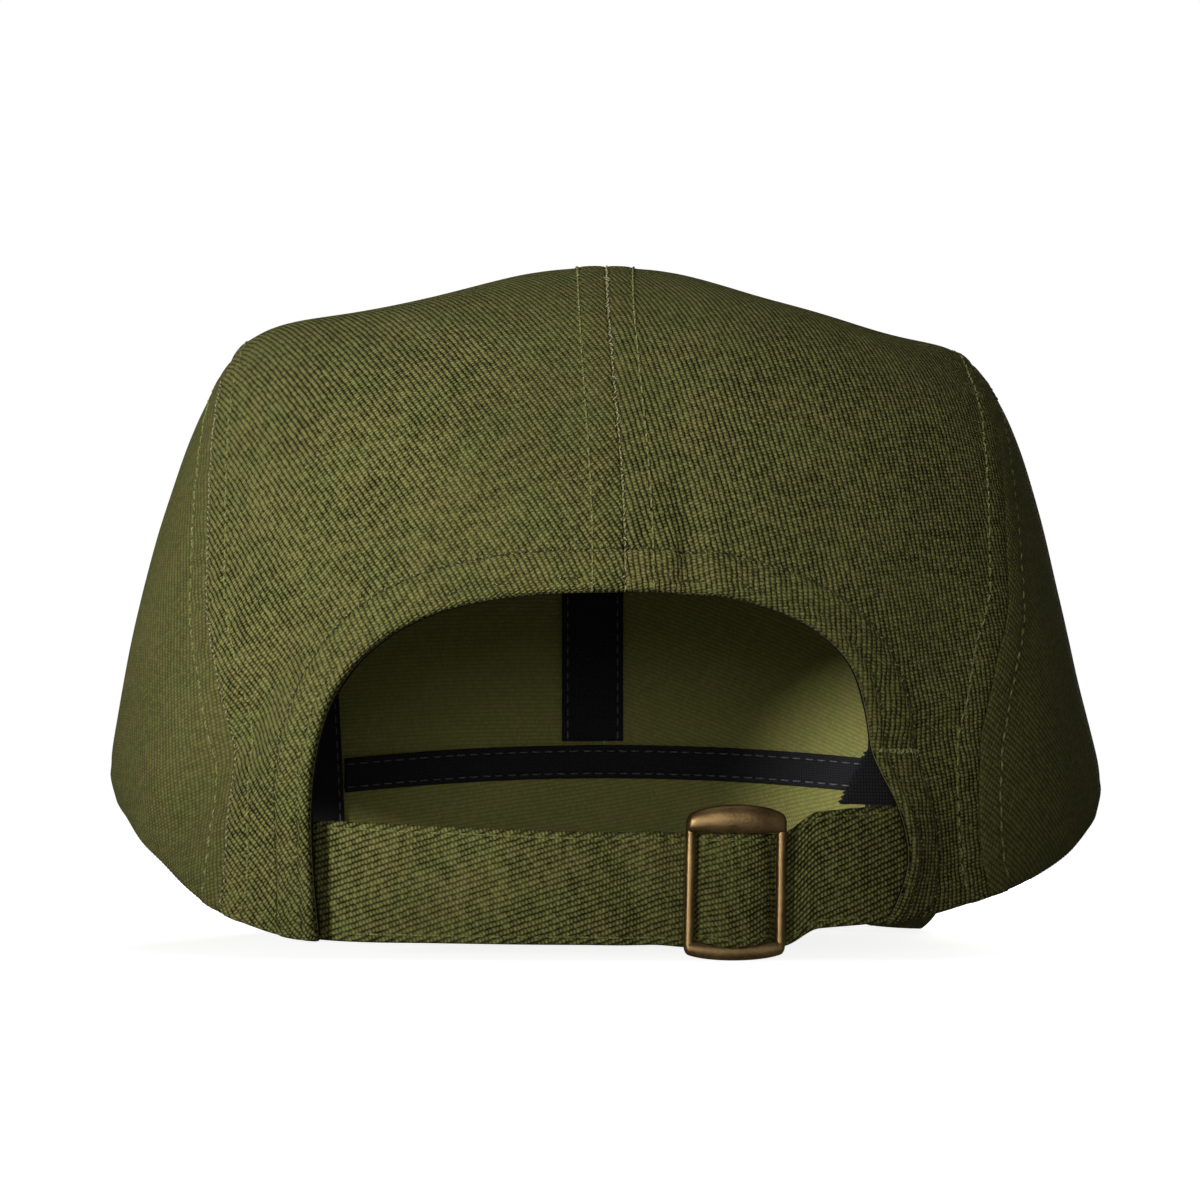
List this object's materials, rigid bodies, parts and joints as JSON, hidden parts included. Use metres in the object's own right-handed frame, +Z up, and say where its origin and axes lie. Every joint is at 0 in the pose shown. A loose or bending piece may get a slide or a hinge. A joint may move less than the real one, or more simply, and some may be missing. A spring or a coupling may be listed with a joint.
{
  "type": "five panel cap",
  "caption": "Olive cotton twill cap with an arched back opening, a cloth back strap with an antique-brass slide buckle, black taped seams inside and a stiffened peak.",
  "frame": {"origin": "on the surface that the cap rests on, below the middle of its bounding box", "axes": "+Z up from the surface, -Y towards the peak, +Y towards the strap, +X towards the wearer's left"},
  "size_m": [0.1872, 0.2216, 0.1295],
  "materials": {
    "twill": "matte cotton twill",
    "black_tape": "matte woven tape",
    "brass": "antique, worn satin"
  },
  "bodies": {
    "root": {"front_panel": "twill", "top_panel_left": "twill", "top_panel_right": "twill", "side_panel_left": "twill", "side_panel_right": "twill", "brim": "twill", "back_strap": "twill", "seam_tape_centre": "black_tape", "seam_tape_front": "black_tape", "seam_tape_left": "black_tape", "seam_tape_right": "black_tape", "opening_facing": "black_tape", "facing_end_fold": "black_tape", "slide_buckle": "brass"}
  },
  "joints": []
}
